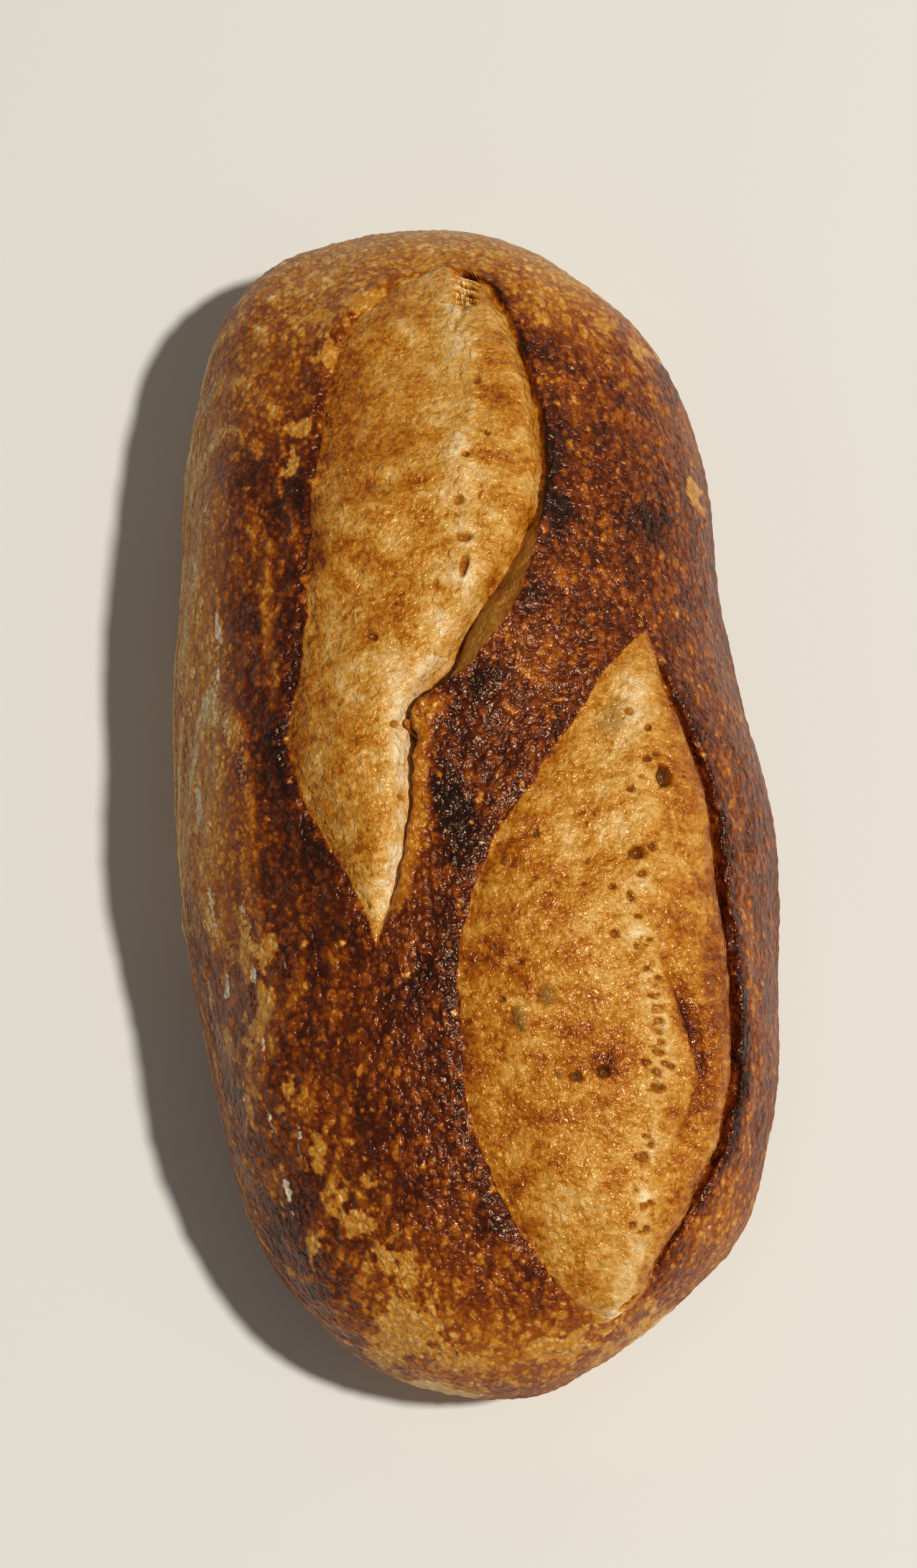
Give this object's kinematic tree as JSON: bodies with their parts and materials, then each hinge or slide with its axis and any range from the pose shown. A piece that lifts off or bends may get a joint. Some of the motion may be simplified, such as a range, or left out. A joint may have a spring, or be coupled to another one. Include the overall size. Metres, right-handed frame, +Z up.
{
  "type": "sourdough loaf",
  "caption": "Whole oval sourdough loaf with a dark blistered crust, golden slashed bursts with raised crust lips, and a flat base to rest on.",
  "frame": {"origin": "middle of the flat base, on the surface that the loaf rests on", "axes": "+Z up out of the base, +Y along the loaf towards the far slash, +X to the loaf's right"},
  "size_m": [0.1457, 0.2907, 0.0891],
  "materials": {
    "crust": null
  },
  "bodies": {
    "root": {"loaf": "crust"}
  },
  "joints": []
}
